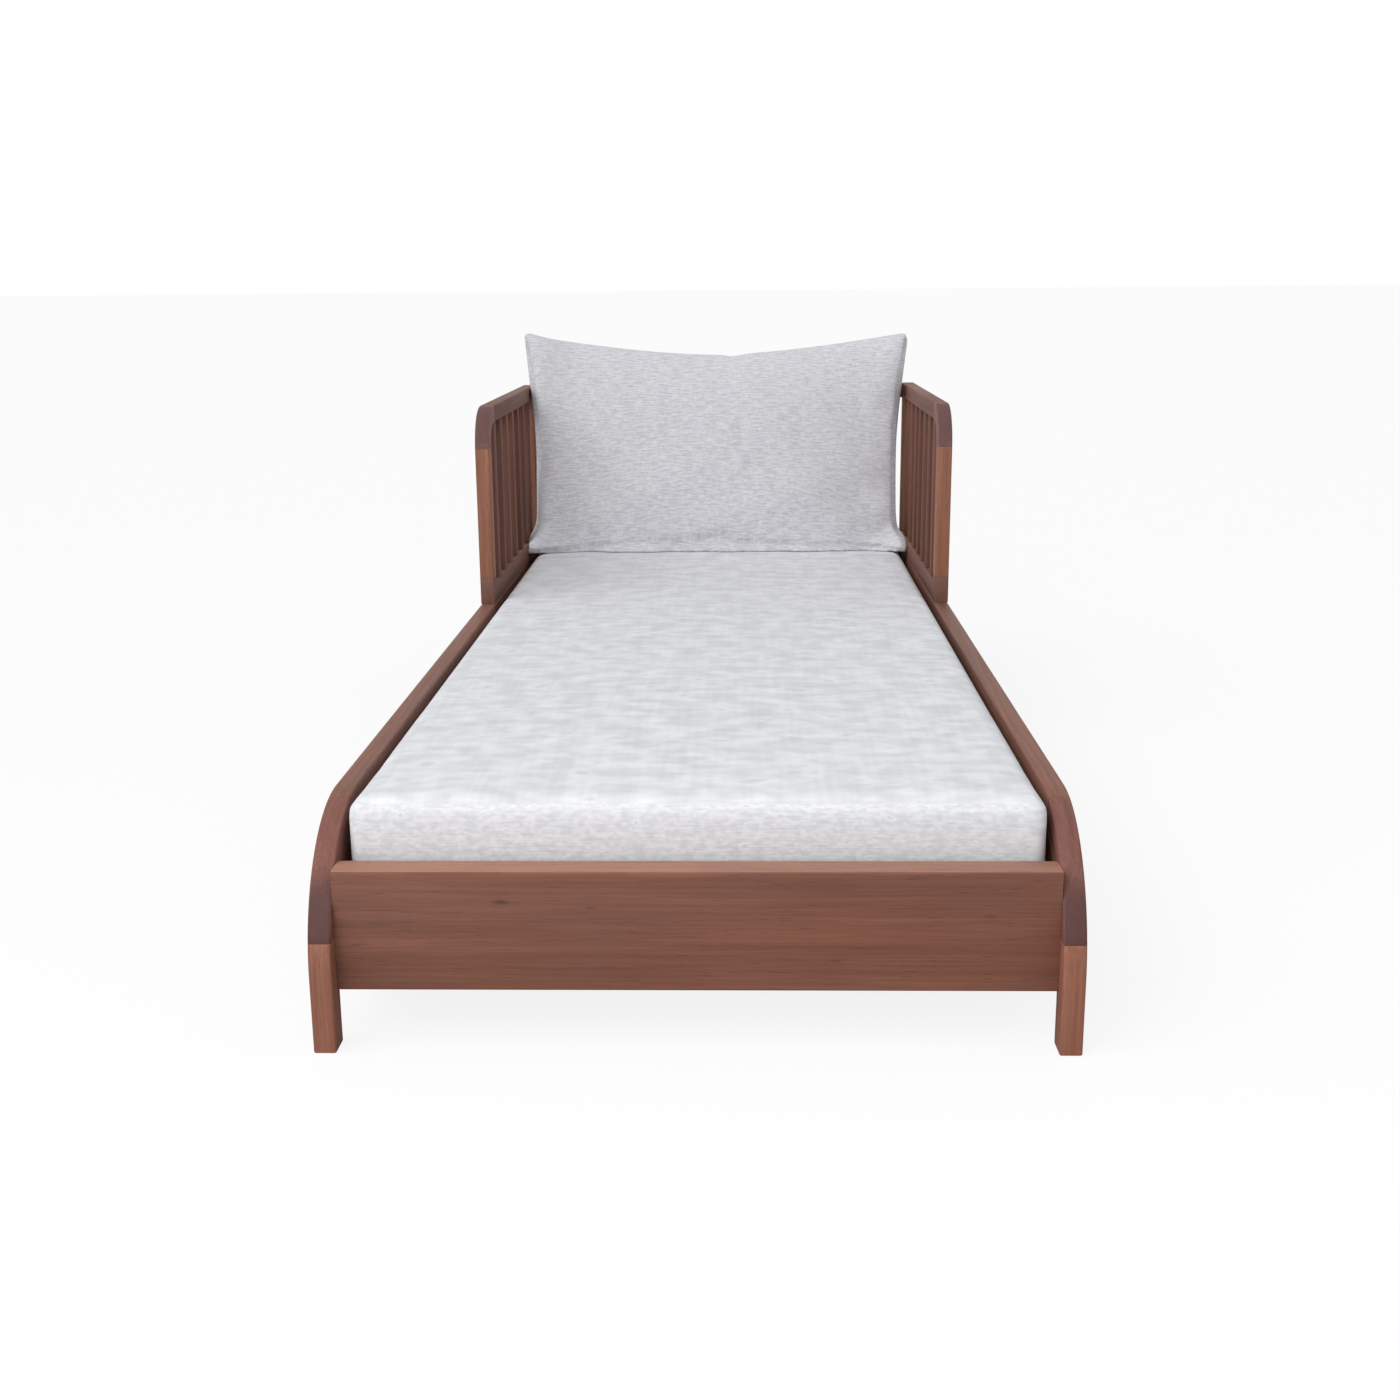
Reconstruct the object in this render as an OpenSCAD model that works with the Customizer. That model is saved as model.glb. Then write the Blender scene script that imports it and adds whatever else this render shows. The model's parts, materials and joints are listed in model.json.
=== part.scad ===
// Outdoor daybed: two bent wooden side frames, front and rear boards, slatted arms and
// back round the head end, a slatted deck, a foam mattress and a leaning back pillow.
// X runs across the bed, +Y towards the back, +Z up, with the origin on the floor in the middle.

/* [Overall] */
// Width over the side frames
bed_w = 900; // [820:5:1000]
// Length from the front legs to the rear posts
bed_l = 2100; // [2000:10:2300]
// Height of the arms above the floor
arm_h = 650; // [600:5:700]
// Height of the side rails above the floor
rail_h = 276; // [266:2:300]

/* [Side frames] */
// Thickness of the frame timber, across the bed
stick_t = 27; // [25:1:32]
// Depth of the legs, corner blocks and side rails
leg_d = 36; // [34:1:42]
// Outer radius of the curved front corners
corner_r = 180; // [160:5:190]
// Height of the joint between a leg and its corner block
leg_joint_h = 136; // [130:1:146]
// Distance of the joint in the side rail from the front of the legs
rail_joint_y = 140; // [126:1:150]
// Rounding of the timber's long edges
edge_r = 3; // [1:0.5:5]

/* [Boards] */
// Height of the boards' lower edges above the floor
board_h = 70; // [60:2:90]
// Thickness of the front board
front_board_t = 40; // [34:1:44]
// Distance of the front board's top edge below the top of the side rails
front_board_drop = 58; // [50:1:68]
// Distance of the front board behind the front of the legs
front_setback = 24; // [18:1:30]
// Thickness of the side boards
side_board_t = 22; // [18:1:25]

/* [Arms and back] */
// Distance of the arms behind the front of the legs
arm_start_y = 1362; // [1300:2:1460]
// Depth of the arms' posts, corner blocks and top rails
arm_d = 32; // [30:1:36]
// Outer radius of the arms' curved corners
arm_corner_r = 80; // [70:1:90]
// Height of the bottom rails that lie on the side rails
bottom_rail_h = 37; // [34:1:46]
// Height of the arms' post joints above the side rails
post_joint_h = 52; // [50:1:58]
// Distance of an arm's post joint below the arm's top
arm_post_joint = 76; // [70:1:78]
// Distance of an arm's rail joint behind the front of the arm
arm_rail_joint = 84; // [81:1:86]
// Face width of a gallery slat
slat_w = 30; // [24:1:36]
// Thickness of a gallery slat
slat_t = 20; // [16:1:21]
// Distance of the gallery slats behind the frame's inner face
slat_inset = 3; // [1:0.5:4]
// Depth of the pockets that hold the gallery slats' ends
slat_pocket = 10; // [6:1:14]
// Number of slats in each arm
arm_slat_count = 7; // [5:1:9]
// Number of slats in the back
back_slat_count = 9; // [7:1:11]

/* [Deck] */
// Width of the ledgers along the side boards
ledger_w = 25; // [20:1:32]
// Height of the ledgers
ledger_h = 30; // [24:1:36]
// Width of a deck slat
deck_slat_w = 70; // [50:2:90]
// Thickness of a deck slat
deck_slat_t = 20; // [16:1:24]
// Number of deck slats
deck_slat_count = 14; // [10:1:16]
// Space at each end of a deck slat
deck_play = 1; // [0.5:0.5:3]

/* [Cushions] */
// Thickness of the mattress
mattress_t = 120; // [100:5:130]
// Height of the mattress's upper edge above the side rails
mattress_stand = 9; // [4:1:16]
// Space between the mattress and the side frames
mattress_gap = 7; // [5:1:18]
// Space between the mattress and the front board
mattress_front_gap = 13; // [8:1:20]
// Rounding of the mattress's edges
mattress_edge = 18; // [14:1:34]
// Crown of the mattress over its edges
mattress_crown = 4; // [2:1:8]
// Space between the pillow's lower corners and the arms
pillow_side_room = 4; // [4:1:16]
// Distance of the pillow's waist inside its lower corners, each side
pillow_waist_in = 16; // [12:1:22]
// Spread of the pillow's upper corners beyond its lower ones, each side
pillow_flare = 12; // [4:1:14]
// Distance of the pillow's middle to the left of the bed's middle
pillow_shift = 3; // [0:0.5:3.5]
// Height of the pillow along its slope
pillow_h = 498; // [460:2:540]
// Thickness of the pillow
pillow_t = 140; // [120:5:160]
// Lean of the pillow towards the back, in degrees
pillow_lean = 12; // [10:0.5:13]
// Distance of the pillow's foot in front of the back
pillow_foot_out = 130; // [122:1:150]
// Sag of the pillow's upper edge between its corners
pillow_sag = 46; // [30:2:60]

/* [Fixings] */
// Diameter of the dowels
dowel_d = 8; // [6:1:9]
// Length of the dowels in the bent frames
dowel_l = 36; // [28:2:36]
// Shank diameter of the board bolts
bolt_d = 6; // [5:1:7]
// Diameter of the barrel nuts
nut_d = 10; // [9:1:12]
// Diameter of the wood screws
screw_d = 4; // [3:0.5:5]
// Length of the ledger screws
ledger_screw_l = 42; // [38:1:46]
// Length of the deck screws
deck_screw_l = 32; // [28:1:32]

/* [Hidden] */
$fn = 48;

leg_tone = "#a06e56";
block_tone = "#6b4a42";
rail_tone = "#8f6a5c";
board_tone = "#81604f";
slat_tone = "#7a5748";
hidden_tone = "#9a7660";
steel_tone = "#b8bcc0";
dowel_tone = "#c9a574";
fabric_tone = "#cfcfd3";

// Clearances
glue_play = 0.05;
dowel_end_room = 0.5;
pocket_play = 0.2;
board_play = 0.3;
soft_play = 0.3;
big = 4000;

// Planes and centres, from the driving sizes
front_y = -bed_l / 2;
rear_y = bed_l / 2;
outer_x = bed_w / 2;
inner_x = outer_x - stick_t;
stick_x = outer_x - stick_t / 2;
rear_post_y = rear_y - leg_d;
rail_under = rail_h - leg_d;
arm_y = front_y + arm_start_y;
arm_under = arm_h - arm_d;
bottom_rail_top = rail_h + bottom_rail_h;
post_joint = rail_h + post_joint_h;
slat_x = inner_x + slat_inset + slat_t / 2;
back_y = rear_y - stick_t;
back_slat_y = back_y + slat_inset + slat_t / 2;

corner_y = front_y + corner_r;
corner_h = rail_h - corner_r;
arm_corner_y = arm_y + arm_corner_r;
arm_corner_h = arm_h - arm_corner_r;

front_board_back = front_y + front_setback + front_board_t;
front_board_top = rail_h - front_board_drop;

mattress_top = rail_h + mattress_stand;
mattress_base = mattress_top - mattress_t;
deck_under = mattress_base - deck_slat_t;
ledger_under = deck_under - ledger_h;

// Centre of a bent bar's section at a cut height or at a cut distance
function bend_y(centre_y, centre_h, r_mid, h) = centre_y - sqrt(pow(r_mid, 2) - pow(h - centre_h, 2));
function bend_h(centre_y, centre_h, r_mid, y) = centre_h + sqrt(pow(r_mid, 2) - pow(y - centre_y, 2));

// Rectangle w by d about the origin, each corner rounded in three steps
function eased(w, d, r) = [
    for (corner = [0:3], step = [0:3])
        let (turn = 90 * corner + 30 * step, sx = [1, -1, -1, 1][corner], sy = [1, 1, -1, -1][corner])
            [sx * (w / 2 - r) + r * cos(turn), sy * (d / 2 - r) + r * sin(turn)]
];

// Turn that lays something upright along x, y or z
function turned(along) = along == "x" ? [0, 90, 0] : along == "y" ? [90, 0, 0] : [0, 0, 0];

// Straight timber between two corners, its long edges eased, running along x, y or z
module stick(low, high, along) {
    size = high - low;
    middle = (high + low) / 2;
    w = along == "x" ? size[2] : size[0];
    d = along == "y" ? size[2] : size[1];
    l = along == "x" ? size[0] : along == "y" ? size[1] : size[2];
    translate(middle)
        rotate(turned(along))
            linear_extrude(l, center = true)
                polygon(eased(w, d, edge_r));
}

// A bar on the left or right side frame, up from foot, round the corner and back to end_y
module bent_bar(start_y, top_h, foot_h, end_y, depth, r) {
    stick([inner_x, start_y, foot_h], [outer_x, start_y + depth, top_h - r], "z");
    translate([stick_x, start_y + r, top_h - r])
        rotate([0, 90, 0])
            rotate([0, 0, 180])
                rotate_extrude(angle = 90, $fn = 96)
                    translate([r - depth / 2, 0])
                        polygon(eased(depth, stick_t, edge_r));
    stick([inner_x, start_y + r, top_h - depth], [outer_x, end_y, top_h], "y");
}

module below(h) {
    translate([-big / 2, -big / 2, h - big]) cube(big);
}

module above(h) {
    translate([-big / 2, -big / 2, h]) cube(big);
}

module ahead(y) {
    translate([-big / 2, y - big, -big / 2]) cube(big);
}

module behind(y) {
    translate([-big / 2, y, -big / 2]) cube(big);
}

module side_bar() {
    bent_bar(front_y, rail_h, 0, rear_post_y, leg_d, corner_r);
}

module arm_bar() {
    bent_bar(arm_y, arm_h, post_joint, rear_y, arm_d, arm_corner_r);
}

// Both sides of the bed: the pieces are drawn on the right and mirrored to the left
module on_left() {
    mirror([1, 0, 0]) children();
}

// Dowel places in a side frame, each as its y, its height and its direction
side_mid_r = corner_r - leg_d / 2;
arm_mid_r = arm_corner_r - arm_d / 2;
leg_joint_y = bend_y(corner_y, corner_h, side_mid_r, leg_joint_h);
rail_joint_h = bend_h(corner_y, corner_h, side_mid_r, front_y + rail_joint_y);
arm_joint_y = bend_y(arm_corner_y, arm_corner_h, arm_mid_r, arm_h - arm_post_joint);
arm_joint_h = bend_h(arm_corner_y, arm_corner_h, arm_mid_r, arm_y + arm_rail_joint);
dowel_edge = 11.5;
arm_dowel_edge = 9;
dowel_pitch = leg_d - 2 * dowel_edge;
arm_dowel_pitch = arm_d - 2 * arm_dowel_edge;
// Single dowels, at heights where they clear the slats' pockets and each other
arm_rail_dowel_rise = 5;
arm_rail_dowel_h = arm_joint_h + arm_rail_dowel_rise;
bottom_end_dowel_h = rail_h + bottom_rail_h * 2 / 3;
back_dowel_hs = [arm_h - dowel_d, rail_h + bottom_rail_h / 3];
bottom_dowel_ys = [
    for (k = [0:3]) arm_y + (rear_post_y - arm_y) * (k + 0.5) / 4
];
side_joints = concat(
    [for (s = [-1, 1]) [leg_joint_y + s * dowel_pitch / 2, leg_joint_h, "z"]],
    [for (s = [-1, 1]) [front_y + rail_joint_y, rail_joint_h + s * dowel_pitch / 2, "y"]],
    [for (s = [-1, 1]) [rear_post_y, rail_h - leg_d / 2 + s * dowel_pitch / 2, "y"]],
    [for (s = [-1, 1]) [arm_y + arm_d / 2 + s * arm_dowel_pitch / 2, post_joint, "z"]],
    [for (s = [-1, 1]) [arm_joint_y + s * arm_dowel_pitch / 2, arm_h - arm_post_joint, "z"]],
    [for (s = [-1, 1]) [rear_y - leg_d / 2 + s * arm_dowel_pitch / 2, arm_under, "z"]],
    [[arm_y + arm_rail_joint, arm_rail_dowel_h, "y"]],
    [[rear_post_y, bottom_end_dowel_h, "y"]],
    [for (y = bottom_dowel_ys) [y, rail_h, "z"]]
);

// One round pin or hole through the origin, along x, y or z
module pin(along, d, l) {
    rotate(turned(along)) cylinder(h = l, d = d, center = true);
}

// All dowels of the right side frame, or their holes when extra sizes are given
module side_dowels(extra_d, extra_l) {
    for (j = side_joints)
        translate([stick_x, j[0], j[1]]) pin(j[2], dowel_d + extra_d, dowel_l + extra_l);
    for (h = back_dowel_hs)
        translate([inner_x, rear_y - stick_t / 2, h]) pin("x", dowel_d + extra_d, dowel_l + extra_l);
}

module dowel_holes() {
    side_dowels(2 * glue_play, 2 * dowel_end_room);
}

// Bolts of the boards on the right side, each as its y, its height and the side of the nut's mouth
bolt_head_d = 14;
bolt_head_t = 3;
bolt_sink = 4;
bolt_play = 0.3;
nut_l = 18;
nut_reach = 35;
bolt_tail = 10;
bolt_tip_room = 2;
head_play = 0.5;
nut_play = 0.1;
bolt_edge = 15;
bolt_rise = 34;
front_bolt_y = front_board_back - bolt_edge;
front_bolt_hs = [board_h + bolt_rise, front_board_top - bolt_rise];
rear_bolt_hs = [board_h + bolt_rise, rail_under - bolt_rise / 2];
board_bolt_spots = concat(
    [for (h = front_bolt_hs) [front_bolt_y, h, 1]],
    [for (h = rear_bolt_hs) [rear_y - stick_t / 2, h, -1]]
);
// Height under which a front bolt passes through the side board and not the corner block
bend_cover_h = bend_h(corner_y, corner_h, corner_r - leg_d, front_bolt_y);
function head_seat(spot) =
    spot[2] == 1 && spot[1] < bend_cover_h ? inner_x + side_board_t - bolt_sink : outer_x - bolt_sink;

module bolt_holes() {
    for (spot = board_bolt_spots)
        translate([0, spot[0], spot[1]]) {
            translate([inner_x, 0, 0])
                pin("x", bolt_d + 2 * bolt_play, 2 * (nut_reach + bolt_tail + bolt_tip_room));
            translate([head_seat(spot), 0, 0])
                rotate([0, 90, 0])
                    cylinder(h = stick_t, d = bolt_head_d + 2 * head_play);
        }
}

module nut_holes() {
    for (spot = board_bolt_spots)
        translate([inner_x - nut_reach, spot[0], spot[1]])
            rotate([spot[2] * -90, 0, 0])
                translate([0, 0, -nut_l / 2])
                    cylinder(h = front_board_t, d = nut_d + 2 * nut_play);
}

// Screws
screw_head_d = screw_d * 2;
screw_head_t = screw_d * 0.6;
screw_play = 0.1;
ledger_screw_end = 60;
ledger_screw_count = 6;
deck_l = back_y - front_board_back;
ledger_screw_pitch = (deck_l - 2 * ledger_screw_end) / (ledger_screw_count - 1);
ledger_screw_ys = [
    for (k = [0:ledger_screw_count - 1]) front_board_back + ledger_screw_end + k * ledger_screw_pitch
];
deck_space = (deck_l - deck_slat_count * deck_slat_w) / (deck_slat_count + 1);
deck_slat_ys = [
    for (k = [0:deck_slat_count - 1])
        front_board_back + deck_space + deck_slat_w / 2 + k * (deck_space + deck_slat_w)
];
// Low enough in the ledger to pass under the deck screws' tips
ledger_screw_h = ledger_under + ledger_h * 2 / 5;

// A countersunk screw with its head's face at the origin, pointing down
module screw(l, extra) {
    translate([0, 0, -l - extra]) cylinder(h = l + extra, d = screw_d + 2 * extra, $fn = 24);
    translate([0, 0, -screw_head_t - extra])
        cylinder(
            h = screw_head_t + extra,
            d1 = screw_d + 2 * extra,
            d2 = screw_head_d + 2 * extra,
            $fn = 24
        );
}

module ledger_screw_set(extra) {
    for (y = ledger_screw_ys)
        translate([inner_x - ledger_w, y, ledger_screw_h])
            rotate([0, -90, 0])
                screw(ledger_screw_l, extra);
}

module deck_screw_set(extra) {
    for (y = deck_slat_ys, s = [-1, 1])
        translate([inner_x - ledger_w / 2, y + s * deck_slat_w / 4, mattress_base])
            screw(deck_screw_l, extra);
}

// Side frames

module front_leg() {
    color(leg_tone) difference() {
        intersection() {
            side_bar();
            below(leg_joint_h);
        }
        dowel_holes();
    }
}

module corner_block() {
    color(block_tone) difference() {
        intersection() {
            side_bar();
            above(leg_joint_h);
            ahead(front_y + rail_joint_y);
        }
        dowel_holes();
        bolt_holes();
    }
}

module side_rail() {
    color(rail_tone) difference() {
        intersection() {
            side_bar();
            behind(front_y + rail_joint_y);
        }
        dowel_holes();
    }
}

// The board's upper front corner is cut round to fit the bend of the frame
module side_board() {
    board_r = corner_r - leg_d - board_play;
    color(board_tone) difference() {
        intersection() {
            translate([inner_x, front_y + leg_d, board_h])
                cube([side_board_t, rear_post_y - front_y - leg_d, rail_under - board_h]);
            union() {
                translate([0, corner_y, corner_h])
                    rotate([0, 90, 0])
                        cylinder(h = big, r = board_r, $fn = 96);
                behind(corner_y);
                below(corner_h);
            }
        }
        bolt_holes();
        ledger_screw_set(screw_play);
    }
}

module rear_post() {
    color(leg_tone) difference() {
        stick([inner_x, rear_post_y, 0], [outer_x, rear_y, arm_under], "z");
        dowel_holes();
        bolt_holes();
    }
}

// Boards across the bed

module front_board() {
    low = [-inner_x, front_y + front_setback, board_h];
    high = [inner_x, front_board_back, front_board_top];
    color(board_tone) difference() {
        stick(low, high, "x");
        bolt_holes();
        nut_holes();
        on_left() bolt_holes();
        on_left() nut_holes();
    }
}

module rear_board() {
    color(board_tone) difference() {
        stick([-inner_x, back_y, board_h], [inner_x, rear_y, rail_h], "x");
        bolt_holes();
        nut_holes();
        on_left() bolt_holes();
        on_left() nut_holes();
    }
}

// Arms

arm_slat_room = rear_post_y - arm_y - arm_d;
arm_slat_space = (arm_slat_room - arm_slat_count * slat_w) / (arm_slat_count + 1);
arm_slat_ys = [
    for (k = [0:arm_slat_count - 1])
        arm_y + arm_d + arm_slat_space + slat_w / 2 + k * (arm_slat_space + slat_w)
];

module arm_slat_set(extra) {
    for (y = arm_slat_ys)
        translate([slat_x, y, 0])
            stick(
                [-slat_t / 2 - extra, -slat_w / 2 - extra, bottom_rail_top - slat_pocket - extra],
                [slat_t / 2 + extra, slat_w / 2 + extra, arm_under + slat_pocket + extra],
                "z"
            );
}

module arm_post() {
    color(leg_tone) difference() {
        intersection() {
            arm_bar();
            below(arm_h - arm_post_joint);
        }
        dowel_holes();
    }
}

module arm_corner() {
    color(block_tone) difference() {
        intersection() {
            arm_bar();
            above(arm_h - arm_post_joint);
            ahead(arm_y + arm_rail_joint);
        }
        dowel_holes();
        arm_slat_set(pocket_play);
    }
}

module arm_top_rail() {
    color(rail_tone) difference() {
        intersection() {
            arm_bar();
            behind(arm_y + arm_rail_joint);
        }
        dowel_holes();
        arm_slat_set(pocket_play);
    }
}

// The bottom rail runs on under the post, where a raised heel carries the post's joint
module arm_bottom_rail() {
    color(rail_tone) difference() {
        union() {
            stick([inner_x, arm_y, rail_h], [outer_x, rear_post_y, bottom_rail_top], "y");
            stick([inner_x, arm_y, rail_h], [outer_x, arm_y + arm_d, post_joint], "z");
        }
        dowel_holes();
        arm_slat_set(pocket_play);
    }
}

module arm_slats() {
    color(slat_tone) arm_slat_set(0);
}

// Back

back_slat_space = (2 * inner_x - back_slat_count * slat_w) / (back_slat_count + 1);
back_slat_xs = [
    for (k = [0:back_slat_count - 1])
        -inner_x + back_slat_space + slat_w / 2 + k * (back_slat_space + slat_w)
];

module back_slat_set(extra) {
    for (x = back_slat_xs)
        translate([x, back_slat_y, 0])
            stick(
                [-slat_w / 2 - extra, -slat_t / 2 - extra, bottom_rail_top - slat_pocket - extra],
                [slat_w / 2 + extra, slat_t / 2 + extra, arm_under + slat_pocket + extra],
                "z"
            );
}

module back_top_rail() {
    color(rail_tone) difference() {
        stick([-inner_x, back_y, arm_under], [inner_x, rear_y, arm_h], "x");
        dowel_holes();
        on_left() dowel_holes();
        back_slat_set(pocket_play);
    }
}

module back_bottom_rail() {
    color(rail_tone) difference() {
        stick([-inner_x, back_y, rail_h], [inner_x, rear_y, bottom_rail_top], "x");
        dowel_holes();
        on_left() dowel_holes();
        back_slat_set(pocket_play);
    }
}

module back_slats() {
    color(slat_tone) back_slat_set(0);
}

// Deck

module slat_ledger() {
    color(hidden_tone) difference() {
        translate([inner_x - ledger_w, front_board_back, ledger_under])
            cube([ledger_w, deck_l, ledger_h]);
        ledger_screw_set(screw_play);
        deck_screw_set(screw_play);
    }
}

module deck_slats() {
    half = inner_x - deck_play;
    color(hidden_tone) difference() {
        for (y = deck_slat_ys)
            stick(
                [-half, y - deck_slat_w / 2, deck_under],
                [half, y + deck_slat_w / 2, mattress_base],
                "x"
            );
        deck_screw_set(screw_play);
        on_left() deck_screw_set(screw_play);
    }
}

// Fixings

module frame_dowels() {
    color(dowel_tone) {
        side_dowels(0, 0);
        on_left() side_dowels(0, 0);
    }
}

module bolt_set() {
    for (spot = board_bolt_spots) {
        seat = head_seat(spot);
        tip = inner_x - nut_reach - bolt_tail;
        translate([0, spot[0], spot[1]]) rotate([0, 90, 0]) {
            translate([0, 0, tip]) cylinder(h = seat - tip + bolt_head_t / 2, d = bolt_d);
            translate([0, 0, seat]) cylinder(h = bolt_head_t, d = bolt_head_d);
        }
    }
}

module nut_set() {
    for (spot = board_bolt_spots)
        difference() {
            translate([inner_x - nut_reach, spot[0], spot[1]]) pin("y", nut_d, nut_l);
            translate([inner_x - nut_reach, spot[0], spot[1]])
                pin("x", bolt_d + 2 * glue_play, 2 * nut_d);
        }
}

module board_bolts() {
    color(steel_tone) {
        bolt_set();
        on_left() bolt_set();
    }
}

module barrel_nuts() {
    color(steel_tone) {
        nut_set();
        on_left() nut_set();
    }
}

module ledger_screws() {
    color(steel_tone) {
        ledger_screw_set(0);
        on_left() ledger_screw_set(0);
    }
}

module deck_screws() {
    color(steel_tone) {
        deck_screw_set(0);
        on_left() deck_screw_set(0);
    }
}

// Cushions: closed forms of triangles, built ring by ring

// Triangles between rings of n points, with a flat fan or strip left to the caller
function ring_walls(rings, n) = [
    for (k = [0:rings - 2], i = [0:n - 1], half = [0, 1])
        let (a = k * n + i, b = k * n + (i + 1) % n, c = a + n, d = b + n)
            half == 0 ? [a, c, b] : [b, c, d]
];

// Mattress: a foam block whose sides draw in between its corners, under a low crown
mattress_hw = inner_x - mattress_gap;
mattress_front = front_board_back + mattress_front_gap;
mattress_hl = (back_y - soft_play - mattress_front) / 2;
mattress_y = mattress_front + mattress_hl;
mattress_plan_r = 40;
mattress_draw = 3;
mattress_least_r = 4;
mattress_arc = 5;
mattress_side = 6;
edge_steps = 4;
crown_steps = [0.86, 0.62, 0.32];

// Points round the mattress's plan, drawn in by inset, and its sides bowed inwards
function plan_corner(sx, sy, start, inset) = [
    for (i = [0:mattress_arc])
        let (a = start + 90 * i / mattress_arc, r = max(mattress_plan_r - inset, mattress_least_r))
            [
                sx * (mattress_hw - inset - r) + r * cos(a),
                sy * (mattress_hl - inset - r) + r * sin(a)
            ]
];
function plan_corners(inset) = [
    plan_corner(1, 1, 0, inset), plan_corner(-1, 1, 90, inset),
    plan_corner(-1, -1, 180, inset), plan_corner(1, -1, 270, inset)
];
function between(p, q) = [
    for (i = [1:mattress_side - 1]) p + (q - p) * i / mattress_side
];
function plan(inset) = let (c = plan_corners(inset)) [
    for (k = [0:3])
        each concat(c[k], between(c[k][mattress_arc], c[(k + 1) % 4][0]))
];
function drawn(p) = [
    p[0] * (1 - mattress_draw / mattress_hw * (1 - pow(p[1] / mattress_hl, 2))),
    p[1] * (1 - mattress_draw / mattress_hl * (1 - pow(p[0] / mattress_hw, 2)))
];
function ring_at(inset, z) = [
    for (p = plan(inset)) let (q = drawn(p)) [q[0], q[1] + mattress_y, z]
];
function crown_at(scale_by) = [
    for (p = plan(mattress_edge))
        let (q = drawn(p) * scale_by)
            [q[0], q[1] + mattress_y, mattress_top + mattress_crown * (1 - scale_by * scale_by)]
];
// Rise of the crown on the mattress's middle line at a place along the bed
function crown_h(y) = mattress_crown * (1 - pow((y - mattress_y) / (mattress_hl - mattress_edge), 2));
mattress_n = 4 * (mattress_arc + mattress_side);
mattress_rings = concat(
    [for (k = [0:edge_steps]) let (a = 90 * k / edge_steps)
        ring_at(mattress_edge * (1 - sin(a)), mattress_base + mattress_edge * (1 - cos(a)))],
    [for (k = [0:edge_steps]) let (a = 90 - 90 * k / edge_steps)
        ring_at(mattress_edge * (1 - sin(a)), mattress_top - mattress_edge * (1 - cos(a)))],
    [for (s = crown_steps) crown_at(s)]
);

module mattress() {
    count = len(mattress_rings);
    base_middle = count * mattress_n;
    top_middle = base_middle + 1;
    points = concat(
        [for (ring = mattress_rings) each ring],
        [[0, mattress_y, mattress_base], [0, mattress_y, mattress_top + mattress_crown]]
    );
    last = (count - 1) * mattress_n;
    base_fan = [for (i = [0:mattress_n - 1]) [base_middle, i, (i + 1) % mattress_n]];
    top_fan = [for (i = [0:mattress_n - 1]) [last + i, top_middle, last + (i + 1) % mattress_n]];
    color(fabric_tone) polyhedron(points, concat(base_fan, ring_walls(count, mattress_n), top_fan));
}

// Pillow: two crowned faces that meet in a thin seam, pointed at its upper corners,
// flat where it rests on the mattress and where it leans on the back
pillow_cols = 26;
pillow_rows = 16;
pillow_seam = 2.5;
pillow_flare_bend = 1.3;
pillow_foot_v = -0.86;
pillow_foot_reach = 0.1;
pillow_bulge = 2.8;
pillow_crown = 0.6;
pillow_taper = 0.12;
pillow_sag_reach = 1.6;
pillow_foot_hw = inner_x - pillow_side_room;
pillow_sink = 16;
pillow_foot_y = back_y - pillow_foot_out;
pillow_rest_y = pillow_foot_y - pillow_t / 4;
pillow_floor = mattress_top + crown_h(pillow_rest_y) + soft_play;
pillow_wall = back_y - soft_play;

function fullness(t) = pow(max(0, 1 - pow(abs(t), pillow_bulge)), pillow_crown);
function pillow_full(u, v) =
    pillow_seam + (pillow_t / 2 - pillow_seam) * fullness(u) * fullness(v) * (1 - pillow_taper * v);
// Half the pillow's width: bulged over its lower corners, spread towards its upper ones
function pillow_half(v) =
    pillow_foot_hw - pillow_waist_in
    + (pillow_waist_in + pillow_flare) * pow(max(0, v), pillow_flare_bend)
    + pillow_waist_in * exp(-pow((v - pillow_foot_v) / pillow_foot_reach, 2));
function pillow_point(u, v, side) =
    let (
        across = u * pillow_half(v) - pillow_shift,
        up = pillow_h * (1 + v) / 2 - pillow_sag * max(0, v) * (1 - pow(abs(u), pillow_sag_reach)),
        out = side * pillow_full(u, v),
        y = pillow_foot_y + up * sin(pillow_lean) + out,
        z = pillow_floor + (up - pillow_sink) * cos(pillow_lean)
    )
        [across, min(y, pillow_wall), z];
pillow_us = [for (i = [0:pillow_cols]) -cos(180 * i / pillow_cols)];
pillow_low_v = 2 * pillow_sink / pillow_h - 1;
pillow_vs = [
    for (j = [0:pillow_rows]) pillow_low_v + (1 - pillow_low_v) * (1 - cos(180 * j / pillow_rows)) / 2
];
pillow_n = 2 * (pillow_cols + 1);

module pillow() {
    points = [
        for (v = pillow_vs)
            each concat(
                [for (i = [0:pillow_cols]) pillow_point(pillow_us[i], v, -1)],
                [for (i = [0:pillow_cols]) pillow_point(pillow_us[pillow_cols - i], v, 1)]
            )
    ];
    top = pillow_rows * pillow_n;
    foot_strip = [
        for (i = [0:pillow_cols - 1], half = [0, 1])
            let (a = i, b = i + 1, c = pillow_n - 1 - i, d = pillow_n - 2 - i)
                half == 0 ? [a, b, c] : [b, d, c]
    ];
    top_strip = [
        for (i = [0:pillow_cols - 1], half = [0, 1])
            let (a = top + i, b = top + i + 1, c = top + pillow_n - 1 - i, d = top + pillow_n - 2 - i)
                half == 0 ? [a, c, b] : [b, c, d]
    ];
    color(fabric_tone)
        polyhedron(points, concat(foot_strip, ring_walls(pillow_rows + 1, pillow_n), top_strip));
}

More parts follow.
